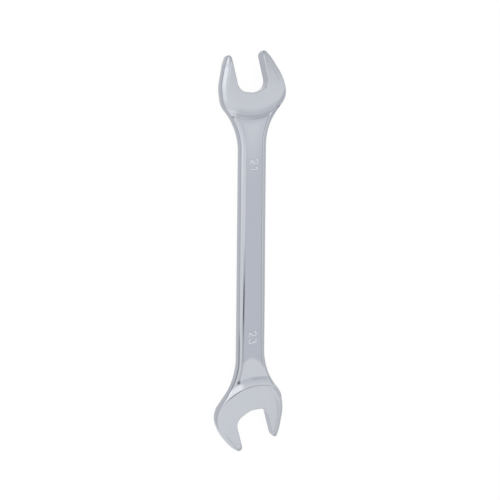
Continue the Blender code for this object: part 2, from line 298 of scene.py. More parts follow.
def faceHeight(points, inset, cap, arcs):
    # Head level, minus the shoulder and step past the face arc, minus the rim's fall and the sunk
    # panel, under the rounding's cap. Also gives how far into the panel each point is, from 0 to 1.
    v = reliefValues
    past = pastFace(points, arcs)
    x, y = points[..., 0], points[..., 1]
    small, left = x > 0, y > 0
    corner = easedRamp((y - v["cornerFrom"]) / v["cornerRun"]) * ~small
    first, last, gain = v["shoulderDeeper"]
    deeper = gain * easedRamp((y - first) / (last - first)) * ~small
    shoulderDrop = np.where(small, *v["shoulderDrops"]) + deeper
    shoulder = easedRamp(past / v["shoulderRun"], v["shoulderSoftness"])
    slope = v["stepRun"] + v["cornerStep"] * corner - v["shoulderRun"]
    step = easedRamp((past - v["shoulderRun"]) / slope, v["stepSoftness"])
    foot = v["stepRun"] + np.where(small, *v["panelLands"])
    rise = easedRamp((past - foot) / v["cornerRise"])
    drop = v["headHalf"] - v["rimHalf"] + v["cornerDrop"] * corner * (1 - rise)
    top = v["headHalf"] - shoulderDrop * shoulder - (drop - shoulderDrop) * step
    rimWidth = np.interp(x, v["rimPlaces"], v["rimWidths"])
    fromInner = np.clip(1 - inset / rimWidth, 0, 1)
    top = top - v["rimFall"] * fromInner ** np.where(left, *v["rimFallPowers"]) * step
    side = (inset - rimWidth) / np.where(left, *v["panelSideRuns"])
    endRun = np.where(small, *v["panelEndRuns"])
    end = easedRamp((past - foot) / endRun, v["panelEndSoftness"])
    inPanel = easedRamp(side, v["panelSideSoftness"]) * end
    climb = easedRamp((foot + endRun + v["rampRun"] - past) / v["rampRun"], v["rampSoftness"])
    floor = v["webHalf"] + v["rampRise"] * climb
    height = top - (top - floor) * inPanel
    return softMin(cap, height, v["rimBlend"] * step), inPanel


def groundCap(level, inset, corner, fall, share):
    # How high the surface may be: the lower of an ellipse, which is the wall's corner, and a ground
    # slope that drops by fall (1 - share)^p, joined softly.
    v = reliefValues
    inward = min(inset / corner, 1)
    ellipse = v["headHalf"] * math.sqrt(inward * (2 - inward))
    slope = v["headHalf"] - fall * (1 - share) ** v["fallPower"]
    blend = v["cornerBlend"] * min(level / gridValues["blendLevels"], 1)
    return float(softMin(ellipse, slope, blend))


def jawCap(level, straight, across):
    # A jaw's wall climbs to its broken edge as 1 - (1 - t)^3, and then its chamfer rises evenly.
    v = reliefValues
    climb = v["jawBreak"] * v["jawBreakClimb"]
    edge = v["headHalf"] - climb
    if level < straight:
        return edge * (1 - (1 - level / straight) ** 3)
    return float(softMin(edge + climb * across * v["jawBreakRise"], v["headHalf"], v["jawBreakBlend"]))


def ringAmounts(level):
    # How far every edge has moved in at a ring, and how high the surface may be there.
    v, g = reliefValues, gridValues
    share = min(level / g["roundLevels"], 1) ** g["ringPower"]
    further = max(level - g["roundLevels"], 0) / g["panelLevels"]
    inset = v["sideRound"] * share
    straight = g["roundLevels"] / 2
    across = min(max(level - straight, 0) / straight, 1) ** g["jawRingPower"]
    shank = inset + (g["panelReach"] - v["sideRound"]) * further
    side = inset + (g["sideReach"] - v["sideRound"]) * further
    amounts = {"shank": shank, "neck": shank, "side": side, "plain": side, "tip": side,
               "jaw": v["jawBreak"] * across + g["jawReach"] * further}
    cap = groundCap(level, inset, v["cornerRound"], v["sideFall"], share)
    caps = {"shank": cap, "neck": cap, "side": cap,
            "plain": groundCap(level, inset, v["cornerRound"], v["plainFall"], share),
            "tip": groundCap(level, inset, v["tipCorner"], v["tipFall"], min(inset / v["tipRound"], 1)),
            "jaw": jawCap(level, straight, across)}
    return np.array([amounts[k] for k in edgeKinds]), np.array([caps[k] for k in edgeKinds])


def placesWhere(values, u, wanted):
    # The places u at which a steadily rising or falling value has the wanted sizes.
    order = np.argsort(values)
    return np.interp(wanted, values[order], u[order])


def evenPlaces(path, first, last, steps):
    # Places from first to last at equal distances along the path.
    u = np.linspace(first, last, gridValues["pathSamples"])
    travelled = np.linalg.norm(np.diff(pathPoints(path, u), axis=0), axis=1).cumsum()
    travelled = np.concatenate([[0], travelled])
    return np.interp(np.linspace(0, travelled[-1], steps + 1), travelled, u)


def arcDistances():
    # Distances past the face arc at which cross lines run along it: close together on each slope.
    v, g = reliefValues, gridValues
    end = v["stepRun"] + v["panelLands"][1] + max(v["panelEndRuns"])
    nearly, beyond = (end + v["rampRun"] * share for share in g["rampShares"])
    stops = (0, v["shoulderRun"], end, nearly, beyond)
    spans = [np.linspace(a, b, n, endpoint=False) for a, b, n in zip(stops, stops[1:], g["arcSteps"])]
    return np.concatenate([[g["beforeFace"]], *spans])


# Places on the outline, two to each corner: its arc and then the run behind it. First, on each side,
# where the tips, the fans of cross lines and the necks are.
sidePlaces = {
    1: {"smallTip": 18.5, "smallFan": 22.4, "smallNeck": 25.4, "largeNeck": 25.6, "largeFan": 29.9,
        "largeTip": 32.5},
    -1: {"smallTip": 58.5, "smallFan": 54.9, "smallNeck": 51.6, "largeNeck": 51.4, "largeFan": 48.4,
         "largeTip": 44.5},
}
# Round each mouth: a tip's outer and inner end, the throat, the other tip's inner and outer end.
mouthPlaces = ((6.5, 8.5, 12.5, 16.5, 18.5), (32.5, 34.5, 38.5, 42.5, 44.5))
shankPlaces = (25.5, 51.5)  # halfway along the shank at +Y, at -Y


def crossPlaces(path, middlePath, side, arcs):
    # Where the cross lines meet one side of a ring, from the small tip to the large one: even steps
    # along the head, a fan, lines along the face arcs, and straight lines across the shank.
    g, p = gridValues, sidePlaces[side]
    distances = arcDistances()
    found = []
    for (centre, radius), fan, neck in zip(
            arcs, (p["smallFan"], p["largeFan"]), (p["smallNeck"], p["largeNeck"])):
        u = np.linspace(fan, neck, g["crossSamples"])
        away = np.linalg.norm(pathPoints(path, u) - centre, axis=1) - radius
        found.append(placesWhere(away, u, distances))
    reach = g["neckReach"] * side
    u = np.linspace(p["smallNeck"] - reach, p["largeNeck"] + reach, g["crossSamples"])
    stations = np.linspace(*g["shankStraight"], g["shankSteps"] + 1)
    shank = placesWhere(pathPoints(path, u)[:, 0], u, stations)
    parts = [
        evenPlaces(middlePath, p["smallTip"], p["smallFan"], g["jawSteps"])[:-1],
        evenPlaces(path, p["smallFan"], found[0][0], g["fanSteps"])[:-1],
        found[0],
        evenPlaces(path, found[0][-1], shank[0], g["blendSteps"])[1:-1],
        shank,
        evenPlaces(path, shank[-1], found[1][-1], g["blendSteps"])[1:-1],
        found[1][::-1],
        evenPlaces(path, found[1][0], p["largeFan"], g["fanSteps"])[1:],
        evenPlaces(middlePath, p["largeFan"], p["largeTip"], g["jawSteps"])[1:],
    ]
    return np.concatenate(parts)


def ringPlaces(path, middlePath, arcs):
    # All places of one ring, anticlockwise from the small head's fuller tip.
    steps = [gridValues[k] for k in ("crossSteps", "jawSteps", "jawSteps", "crossSteps")]
    small, large = (np.concatenate([evenPlaces(middlePath, a, b, n)[:-1]
                                    for a, b, n in zip(places, places[1:], steps)])
                    for places in mouthPlaces)
    left = crossPlaces(path, middlePath, 1, arcs)[:-1]
    right = crossPlaces(path, middlePath, -1, arcs)[::-1][:-1]
    return np.concatenate([small, left, large, right])


def between(a, b, steps):
    # Points at equal steps from a to b.
    k = np.linspace(0, 1, steps + 1)[:, None]
    return a * (1 - k) + b * k


def spineLine(path, arcs, count):
    # The line down the middle, from throat to throat, with its points on the cross lines.
    g = gridValues
    throats = pathPoints(path, np.array([places[2] for places in mouthPlaces]))
    shankY = pathPoints(path, np.array(shankPlaces))[:, 1].mean()
    smallEnd, largeEnd = (np.array([x, shankY]) for x in g["shankStraight"])
    t = np.linspace(0, 1, g["spineSamples"])
    on = []
    for throat, end, (centre, radius) in zip(throats, (smallEnd, largeEnd), arcs):
        run = between(throat, end, g["spineSamples"] - 1)
        away = np.linalg.norm(run - centre, axis=1) - radius
        share = placesWhere(away, t, arcDistances())[:, None]
        on.append(throat * (1 - share) + end * share)
    line = np.concatenate([
        between(throats[0], on[0][0], g["fanSteps"])[:-1],
        on[0],
        between(on[0][-1], smallEnd, g["blendSteps"])[1:-1],
        between(smallEnd, largeEnd, g["shankSteps"]),
        between(largeEnd, on[1][-1], g["blendSteps"])[1:-1],
        on[1][::-1],
        between(on[1][0], throats[1], g["fanSteps"])[1:],
    ])
    assert len(line) == count, (len(line), count)
    return line


def crossGrid(outer, inner, arcs):
    # Points between the outer and inner end of each cross line. A line is straight in the heads and
    # the shank, and turns about the face arc's middle where it runs along that arc.
    g = gridValues
    share = np.linspace(0, 1, g["crossSteps"] + 1)[1:-1][None, :, None]
    straight = outer[:, None] * (1 - share) + inner[:, None] * share
    count = len(outer)
    arcLines = len(arcDistances())
    result = straight.copy()
    for (centre, _), backwards in zip(arcs, (False, True)):
        weight = np.zeros(count)
        first = g["jawSteps"] + g["fanSteps"]
        weight[g["jawSteps"]:first + 1] = np.linspace(0, 1, g["fanSteps"] + 1)
        weight[first:first + arcLines] = 1
        last = first + arcLines - 1
        weight[last:last + g["blendSteps"] + 1] = np.linspace(1, 0, g["blendSteps"] + 1)
        if backwards:
            weight = weight[::-1]
        a, b = outer - centre, inner - centre
        angleA, angleB = np.arctan2(a[:, 1], a[:, 0]), np.arctan2(b[:, 1], b[:, 0])
        sweep = np.mod(angleB - angleA + math.pi, 2 * math.pi) - math.pi
        k = share[..., 0]
        angle = angleA[:, None] + sweep[:, None] * k
        away = np.linalg.norm(a, axis=1)[:, None] * (1 - k) + np.linalg.norm(b, axis=1)[:, None] * k
        curved = centre + np.stack([np.cos(angle), np.sin(angle)], -1) * away[..., None]
        result += (curved - straight) * weight[:, None, None]
    return result


def gridQuads(index):
    # One quad between each four neighbours of a grid of vertex numbers.
    return np.stack([index[:-1, :-1], index[1:, :-1], index[1:, 1:], index[:-1, 1:]], -1).reshape(-1, 4)


def ringStack(corners, radii, arcs):
    # For every point of every ring of the upper face: X, Y, inset, cap, and how far it lies on a jaw,
    # on a side wall and on the line above that wall where a dark reflection is painted. Each share is
    # full on its own rings and fades past them. Also gives the last ring's path.
    g = gridValues
    middlePath = insetPath(corners, radii, ringAmounts(g["roundLevels"] * g["middleLevelShare"])[0])
    jawEdges = np.array([float(kind == "jaw") for kind in edgeKinds])
    shadeLineFull, shadeLineGone = g["shadeLineRings"]
    rings = []
    for level in range(g["roundLevels"] + g["panelLevels"] + 1):
        amounts, caps = ringAmounts(level)
        path = insetPath(corners, radii, amounts)
        u = ringPlaces(path, middlePath, arcs)
        onJaw = edgeAmounts(u, jawEdges)
        # The jaws get broach marks, and a darker tone that is painted shade for the shadowed floor in
        # the mouth that they reflect.
        jawRing = min(max(g["roundLevels"] / 2 + 1 - level, 0), 1)
        # The side walls get a darker tone, painted shade and partly their own trimmed finish.
        wallRing = min(max(g["wallLevels"] + 1 - level, 0), 1)
        # The band of rings above the side wall, where a dark reflection is painted.
        shadeLineRing = min(max((shadeLineGone - abs(level - g["wallLevels"])) / (shadeLineGone - shadeLineFull), 0), 1)
        rings.append([*pathPoints(path, u).T, edgeAmounts(u, amounts), edgeAmounts(u, caps),
                      onJaw * jawRing, (1 - onJaw) * wallRing, np.full(len(u), shadeLineRing)])
    return np.array(rings).transpose(1, 0, 2), path


def gridRuns(around):
    # The runs of the last ring that bound the cross lines at +Y, and those at -Y: the outer side and
    # each jaw from the small head to the large one, and each tip from the outside in.
    tip, jaw = gridValues["crossSteps"], gridValues["jawSteps"]
    lines = (around - 4 * tip - 4 * jaw) // 2
    starts = np.cumsum([0, tip, jaw, jaw, tip, lines, tip, jaw, jaw, tip])
    side, along, across = np.arange(lines + 1), np.arange(jaw + 1), np.arange(tip + 1)
    left = {"outer": starts[4] + side, "smallJaw": starts[3] - along, "largeJaw": starts[7] - along,
            "smallTip": starts[4] - across, "largeTip": starts[5] + across}
    right = {"outer": (around - side) % around, "smallJaw": starts[1] + along,
             "largeJaw": starts[7] + along, "smallTip": across, "largeTip": starts[9] - across}
    return left, right


def forgingSurface():
    # Rings follow the outline inwards, and cross lines fill what the last ring leaves, on the upper
    # face. The lower face is its mirror image. Gives points in mm, quads, and for each point how far
    # it lies in the panel, on a jaw, on a side wall and on the line above that wall where a dark
    # reflection is painted.
    corners, radii, middles = wrenchCorners()
    arcs = faceArcs(middles)
    stack, path = ringStack(corners, radii, arcs)
    levels, around = stack.shape[1:]
    rings = np.arange(levels * around).reshape(levels, around)
    left, right = gridRuns(around)
    spine = spineLine(path, arcs, len(left["outer"]) - 2 * gridValues["jawSteps"])[1:-1]
    spineIndex = rings.size + np.arange(len(spine))
    known = np.concatenate([stack[:2].reshape(2, -1).T, spine])
    flat, used = [known], len(known)
    quads = [gridQuads(np.concatenate([rings, rings[:, :1]], 1).T)]
    for runs, order in ((left, 1), (right, -1)):
        bounds = {name: rings[-1, places] for name, places in runs.items()}
        outer = bounds["outer"]
        inner = np.concatenate([bounds["smallJaw"], spineIndex, bounds["largeJaw"]])
        grid = crossGrid(known[outer], known[inner], arcs)[1:-1]
        count = grid[..., 0].size
        index = np.empty((len(outer), gridValues["crossSteps"] + 1), int)
        index[:, 0], index[:, -1] = outer, inner
        index[0], index[-1] = bounds["smallTip"], bounds["largeTip"]
        index[1:-1, 1:-1] = used + np.arange(count).reshape(grid.shape[:2])
        used += count
        flat.append(grid.reshape(-1, 2))
        quads.append(gridQuads(index)[:, ::order])
    flat, quads = np.concatenate(flat), np.concatenate(quads)
    values = np.tile([[gridValues["farInset"]], [reliefValues["headHalf"]], [0], [0], [0]], len(flat))
    values[:, :rings.size] = stack[2:].reshape(len(values), -1)
    inset, cap, *shares = values
    height, inPanel = faceHeight(flat, inset, cap, arcs)
    shares = np.array([inPanel, *shares])
    top = np.column_stack([flat, height])
    under = np.arange(len(top)) + len(top) - around
    under[:around] = np.arange(around)
    low = (top * [1, 1, -1])[around:]
    return (np.concatenate([top, low]), np.concatenate([quads, under[quads][:, ::-1]]),
            np.concatenate([shares, shares[:, around:]], 1))


# The size of each jaw stands raised on the panel's floor, on both faces, in plain numbers. Lengths
# in mm, and shares in heights of a numeral.
numeralValues = {
    "texts": ("21", "23"),  # near the small head, near the large one
    "fromNut": (54.8, 60.2),
    "centreY": -1.15,
    "height": 5.6,
    "stroke": 1.2,
    "relief": 0.30,
    "gap": 1.2,
    "sink": 0.08,  # how far the strokes reach down into the floor
    "softness": 5.0,  # 2 is a round stroke, more is a squarer one
    "leastBendShare": 0.09,  # least corner radius
    "widthShares": {"1": 0.36, "2": 0.66, "3": 0.64},
    # Centre lines: across, up, corner radius.
    "lineShares": {
        "1": ((0.06, 0.76, 0), (0.30, 0.94, 0), (0.30, 0.07, 0)),
        "2": ((0.06, 0.72, 0), (0.06, 0.93, 0.20), (0.56, 0.93, 0.20), (0.56, 0.56, 0.26),
              (0.08, 0.07, 0), (0.60, 0.07, 0)),
        "3": ((0.06, 0.93, 0), (0.56, 0.93, 0), (0.26, 0.58, 0), (0.58, 0.58, 0.22),
              (0.58, 0.07, 0.24), (0.06, 0.07, 0.24), (0.06, 0.25, 0)),
    },
    "alongSteps": 70,
    "acrossSteps": 12,
    "endSteps": 6,
}


def strokeLine(digit):
    # The centre line of a digit in mm, at equal steps, with every bend rounded. It ends a hair
    # before the last corner, because the path would go on to the first one.
    v = numeralValues
    shares = np.array(v["lineShares"][digit])
    radii = np.maximum(shares[:, 2], v["leastBendShare"])
    radii[[0, -1]] = 0
    path = filletPath(shares[:, :2] * v["height"], radii * v["height"])
    u = evenPlaces(path, 1, 2 * len(shares) - 2 - tiny, v["alongSteps"])
    return pathPoints(path, u)


def strokeShell(line):
    # A closed raised stroke. At q half widths from the line its height is relief (1 - q^n)^2, with n
    # the softness. Each end is a half circle of rows that narrow as the cosine of their angle.
    v = numeralValues
    half = v["stroke"] / 2
    tangent = unit(np.gradient(line, axis=0))
    turn = np.linspace(0, math.pi / 2, v["endSteps"] + 1)[1:-1]
    out = np.sin(turn)[:, None] * half
    middles = np.concatenate([(line[0] - tangent[0] * out)[::-1], line, line[-1] + tangent[-1] * out])
    tangents = np.concatenate([[tangent[0]] * len(turn), tangent, [tangent[-1]] * len(turn)])
    angle = np.concatenate([turn[::-1], np.zeros(len(line)), turn])[:, None]
    normal = np.stack([-tangents[:, 1], tangents[:, 0]], 1)
    q = np.linspace(-1, 1, v["acrossSteps"] + 1)
    loop = np.concatenate([q, q[-2:0:-1]])[None, :]
    flat = middles[:, None] + normal[:, None] * (loop * np.cos(angle) * half)[..., None]
    away = np.sqrt(np.sin(angle) ** 2 + (loop * np.cos(angle)) ** 2)
    height = (v["relief"] + v["sink"]) * np.clip(1 - away ** v["softness"], 0, 1) ** 2 - v["sink"]
    height[:, len(q):] = -v["sink"]
    rows, around = height.shape
    poles = np.array([line[0] - tangent[0] * half, line[-1] + tangent[-1] * half])
    points = np.concatenate([np.dstack([flat, height]).reshape(-1, 3),
                             np.column_stack([poles, [-v["sink"]] * 2])])
    index = np.arange(rows * around).reshape(rows, around)
    index = np.concatenate([index, index[:, :1]], 1)
    quads = gridQuads(index)[:, ::-1]
    first = np.full(around, rows * around)
    ends = np.concatenate([np.stack([index[0, :-1], index[0, 1:], first], 1),
                           np.stack([index[-1, 1:], index[-1, :-1], first + 1], 1)])
    return points, quads, ends


def numeralShells(middles):
    # Both numbers on both faces: points from the middle plane in mm, and faces.
    v = numeralValues
    allPoints, allFaces, used = [], [], 0
    for text, fromNut, middle in zip(v["texts"], v["fromNut"], middles):
        place = middle[0] - math.copysign(fromNut, middle[0])
        widths = [v["widthShares"][digit] * v["height"] for digit in text]
        start = -(sum(widths) + v["gap"] * (len(text) - 1)) / 2
        for digit, width in zip(text, widths):
            points, quads, ends = strokeShell(strokeLine(digit))
            # The number reads from the small head to the large one, with its foot at +Y on top.
            upper = np.column_stack([place - (points[:, 0] + start), v["height"] / 2 - points[:, 1],
                                     points[:, 2] + reliefValues["webHalf"]])
            for facing in ((1, 1, 1), (1, -1, -1)):
                allPoints.append(upper * facing + [0, v["centreY"], 0])
                allFaces += (quads + used).tolist() + (ends + used).tolist()
                used += len(points)
            start += width + v["gap"]
    return np.concatenate(allPoints), allFaces


# The finish of each point, and the light and shade painted on it: where the polishing ends, the
# painted shade on the steps, walls, a line and spots, and the painted highlights by the corners.
# Lengths in mm, past each face arc or along X and Y. The first of two values is for the small head.
finishValues = {
    "fadeStarts": (2.0, 17.5),  # the forging's dull floor begins to show, and shows in full
    "fadeEnds": (48.0, 19.5),
    "fadeBows": (14.0, 3.2),  # how much nearer to each head the fade starts at the panel's sides
    "fadeSoftness": 0.3,
    "panelHalf": 6.5,  # half the panel's width
    # Shade is painted on the step by each face: the same share darkens it and makes it rougher. By the
    # large head it gets darker towards its foot, and the small head's is given at stops.
    "stepShadeFrom": 1.0,
    "stepShadePower": 0.8,
    "stepShadeBeyond": 0.1,  # it still counts this far past the foot
    "smallStepShadePast": (-3.0, 0.0, 0.8, 1.3, 2.2, 3.4, 7.4),
    "smallStepShadeShares": (0.0, 0.9, 0.9, 0.4, 0.5, 0.95, 0.0),
    "stepShadeSideStarts": (13.0, 7.5),  # going from this Y to this one it fades in
    "missedSideEnds": (9.5, 5.0),
    "wallToneStop": (-104.0, 8.0),  # the walls' darker tone leaves the large head's wall at +Y from this X, over this run
    # The painted dark reflection above the neck's wall at +Y: from this X, over this run, to this X,
    # over this run.
    "shadeLineStart": (-42.0, 14.0),
    "shadeLineEnd": (-87.0, 4.0),
    "shadeLineDark": 0.7,
    # A highlight is painted on each head's corner at +Y: it starts, is full, starts to fade and is gone
    # at these distances past the arc, from this Y over this run.
    "highlightPast": ((0.2, 0.8, 2.6, 3.4), (0.7, 1.1, 3.4, 5.2)),
    "highlightFrom": (10.0, 3.6),
    "highlightRun": 3.6,
    "paintedHighlightShares": (0.4, 1.0),  # how bright
    "highlightEnd": (-81.2, 0.9),  # on the large head only beyond this X, over this run
    "highlightAbove": 1.0,  # not within this distance of the middle plane
    # A small spot of painted shade by each of those corners: X, Y, radius and how dark.
    "shadeSpots": ((-80.1, 8.3, 1.7, 1.0), (84.0, 13.4, 1.0, 0.7)),
    "spotRise": 1.6,  # above 1 the middle of a spot is even
}


def dullFloorAndStepShading(points, inPanel, past):
    # Of the panel's dull floor: none up to the end of the polishing, then rising along the shank,
    # sooner at the panel's sides by bow (y / half)^2. Of the painted shade on the steps: the way to the
    # foot to a power, or between stops, and fading towards +Y. The larger of the two counts.
    v, r = finishValues, reliefValues
    y, small = points[:, 1], points[:, 0] > 0
    bowed = past + np.where(small, *v["fadeBows"]) * (y / v["panelHalf"]) ** 2
    start, end = np.where(small, *v["fadeStarts"]), np.where(small, *v["fadeEnds"])
    floor = easedRamp((bowed - start) / (end - start), v["fadeSoftness"]) * inPanel
    foot = r["stepRun"] + r["panelLands"][1] + r["panelEndRuns"][1]
    down = np.clip((past - v["stepShadeFrom"]) / (foot - v["stepShadeFrom"]), 0, 1) ** v["stepShadePower"]
    down = down * (past < foot + v["stepShadeBeyond"])
    missed = np.where(small, np.interp(past, v["smallStepShadePast"], v["smallStepShadeShares"]), down)
    start, end = np.where(small, *v["stepShadeSideStarts"]), np.where(small, *v["missedSideEnds"])
    return np.maximum(floor, missed * easedRamp((y - start) / (end - start), v["fadeSoftness"]))


def wallTrimAndShadeShares(points, onWall):
    # The side walls' darker tone, which is painted shade for the shadowed floor they reflect and partly
    # their trimmed finish, but for a stretch of the large head's.
    first, run = finishValues["wallToneStop"]
    return onWall * (1 - easedRamp((first - points[:, 0]) / run) * (points[:, 1] > 0))


def paintedShadeShares(points, onShadeLine):
    # The painted dark reflection along the neck at +Y, eased in and out along X, and the spots of
    # painted shade, each of which fades as rise (1 - distance / radius).
    v = finishValues
    x, y = points[:, 0], points[:, 1]
    begun, ended = (easedRamp((place - x) / run) for place, run in (v["shadeLineStart"], v["shadeLineEnd"]))
    share = onShadeLine * v["shadeLineDark"] * begun * (1 - ended) * (y > 0)
    for spotX, spotY, radius, dark in v["shadeSpots"]:
        away = np.hypot(x - spotX, y - spotY)
        share = np.maximum(share, dark * easedRamp(v["spotRise"] * (1 - away / radius)))
    return share


def paintedHighlightStrips(points, onWall, past):
    # A painted highlight: a strip along each face arc that rises and falls with the distance past it,
    # at +Y only, off the walls, and on the large head cut off along X.
    v = finishValues
    x, y = points[:, 0], points[:, 1]
    small = x > 0
    start, full, leave, gone = (np.where(small, *stops) for stops in zip(*v["highlightPast"]))
    strip = easedRamp((past - start) / (full - start)) * easedRamp((gone - past) / (gone - leave))
    strip = strip * easedRamp((y - np.where(small, *v["highlightFrom"])) / v["highlightRun"])
    place, run = v["highlightEnd"]
    bright = np.where(small, *v["paintedHighlightShares"]) * np.where(small, 1, easedRamp((place - x) / run))
    return strip * bright * (1 - onWall) * (np.abs(points[:, 2]) > v["highlightAbove"])


def makeForging():
    # The surface and the numerals in one mesh, with the shares that its chrome is coloured by, those
    # of painted shade and highlights among them.
    points, quads, shares = forgingSurface()
    middles = wrenchCorners()[2]
    numeralPoints, numeralFaces = numeralShells(middles)
    faces = quads.tolist() + [[i + len(points) for i in face] for face in numeralFaces]
    inPanel, onJaw, onWall, onShadeLine = np.pad(shares, ((0, 0), (0, len(numeralPoints))))
    # The numerals get a paler tone of their own, a painted highlight.
    numeral = (np.arange(len(inPanel)) >= len(points)).astype(float)
    points = np.concatenate([points, numeralPoints])
    past = pastFace(points[:, :2], faceArcs(middles))
    onWall = wallTrimAndShadeShares(points, onWall)
    mesh = bpy.data.meshes.new("wrenchForging")
    mesh.from_pydata(((points + [0, 0, reliefValues["headHalf"]]) * mm).tolist(), [], faces)
    mesh.update()
    mesh.shade_smooth()
    # Of these shares, painted shade darkens the steps, the jaws, the walls (partly their own finish)
    # and a line and spots at +Y, and painted highlights brighten a corner of each head and the
    # numerals.
    for name, share in (("dullFloorAndStepShadeShare", dullFloorAndStepShading(points, inPanel, past)), ("jawBroachAndShadeShare", onJaw),
                        ("wallTrimAndShadeShare", onWall), ("paintedShadeShare", paintedShadeShares(points, onShadeLine)),
                        ("paintedHighlightShare", paintedHighlightStrips(points, onWall, past)), ("numeralHighlightShare", numeral)):
        mesh.attributes.new(name, "FLOAT", "POINT").data.foreach_set("value", share.astype(np.float32))
    forging = bpy.data.objects.new("wrenchForging", mesh)
    bpy.context.scene.collection.objects.link(forging)
    print("forging:", len(points), "points,", sum(len(f) - 2 for f in faces), "triangles")
    return forging


forging = makeForging()
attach(forging, "root")
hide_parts("forged_body")


# The camera, as fitted to the photograph: lengths in mm, angles in degrees, picture places in pixels.
photoView = {
    "aim": (0.376, -0.444, 3.6),
    "distance": 383.53,
    "tilt": 26.8128,
    "swing": -6.0400,
    "roll": 0.5343,
    "pictureSize": 500,
    "focalPixels": 613.07,
    "centrePixel": (250.336, 254.344),
    "sensor": 36.0,
    "clip": (0.01, 20.0),  # m
}


def makeCamera():
    # It hangs over the wrench, by the tilt towards +Y and by the swing towards +X, and then rolls.
    v = photoView
    tilt, swing, roll = (math.radians(v[k]) for k in ("tilt", "swing", "roll"))
    sinTilt, cosTilt = math.sin(tilt), math.cos(tilt)
    sinSwing, cosSwing = math.sin(swing), math.cos(swing)
    right = Vector((0, -cosTilt, sinTilt))
    up = Vector((cosSwing, sinTilt * sinSwing, cosTilt * sinSwing))
    ahead = Vector((sinSwing, -sinTilt * cosSwing, -cosTilt * cosSwing))
    rolledRight = right * math.cos(roll) + up * math.sin(roll)
    rolledUp = up * math.cos(roll) - right * math.sin(roll)
    data = bpy.data.cameras.new("photoCamera")
    data.sensor_width = v["sensor"]
    data.lens = v["focalPixels"] * v["sensor"] / v["pictureSize"]
    middle = (v["pictureSize"] - 1) / 2
    data.shift_x = -(v["centrePixel"][0] - middle) / v["pictureSize"]
    data.shift_y = (v["centrePixel"][1] - middle) / v["pictureSize"]
    data.clip_start, data.clip_end = v["clip"]
    camera = bpy.data.objects.new("photoCamera", data)
    bpy.context.scene.collection.objects.link(camera)
    place = Vector(v["aim"]) * mm - ahead * v["distance"] * mm
    turn = Matrix((rolledRight, rolledUp, -ahead)).transposed().to_4x4()
    camera.matrix_world = Matrix.Translation(place) @ turn
    bpy.context.scene.camera = camera


makeCamera()
print("camera placed")


def linearColour(code):
    # Each sRGB channel c becomes c / 12.92 when dark, or ((c + 0.055) / 1.055) to the power 2.4.
    channels = [int(code[i:i + 2], 16) / 255 for i in (1, 3, 5)]
    return tuple(c / 12.92 if c <= 0.04045 else ((c + 0.055) / 1.055) ** 2.4 for c in channels) + (1,)


def addNode(tree, kind, settings=None, inputs=None, links=None):
    # Adds a node, sets its properties and sockets, and links other nodes' outputs to its inputs.
    node = tree.nodes.new(kind)
    for name, value in (settings or {}).items():
        setattr(node, name, value)
    for name, value in (inputs or {}).items():
        node.inputs[name].default_value = value
    for name, source in (links or {}).items():
        tree.links.new(source, node.inputs[name])
    return node


def newMaterial(name):
    material = bpy.data.materials.new(name)
    material.use_nodes = True
    material.node_tree.nodes.clear()
    return material, material.node_tree


chromeValues = {
    "polished": "#C3C7CF",
    "polishedPale": "#C8CBD1",
    # The tone that takes over by each share, in the order in which they are laid on. The floor's tone
    # is its own on the floor and painted shade on the steps; the jaws', the dark line's and spots' are
    # painted shade, the walls' painted shade and partly their own; the bright corners' and the
    # numerals' are painted highlights.
    "tones": {"dullFloorAndStepShadeShare": "#B5B9C3", "jawBroachAndShadeShare": "#ADB0B8", "wallTrimAndShadeShare": "#B0B3BB",
              "paintedShadeShare": "#73767E", "paintedHighlightShare": "#E0E2E8", "numeralHighlightShare": "#D6D9E0"},
    "patchSize": 14.0,  # mm, slow changes of tone in the plating
    "waveSize": 11.0,  # mm, waves left by polishing by hand
    "waveHeight": 0.010,
    "lineSize": 0.35,  # mm between polishing lines, drawn coarser than real so that they show
    "lineLength": 8.0,
    "lineHeight": 0.0006,
    "lineRange": (0.3, 0.7),  # the part of the lines' pattern that goes from smooth to rough
    "roughness": (0.10, 0.17),
    "forgedRoughness": 0.22,
    "grainSize": 0.6,  # mm, the forging's grain under the plating
    "grainHeight": 0.002,
    "broachSize": 0.5,  # mm between the broach marks on the jaws
    "broachHeight": 0.004,
}


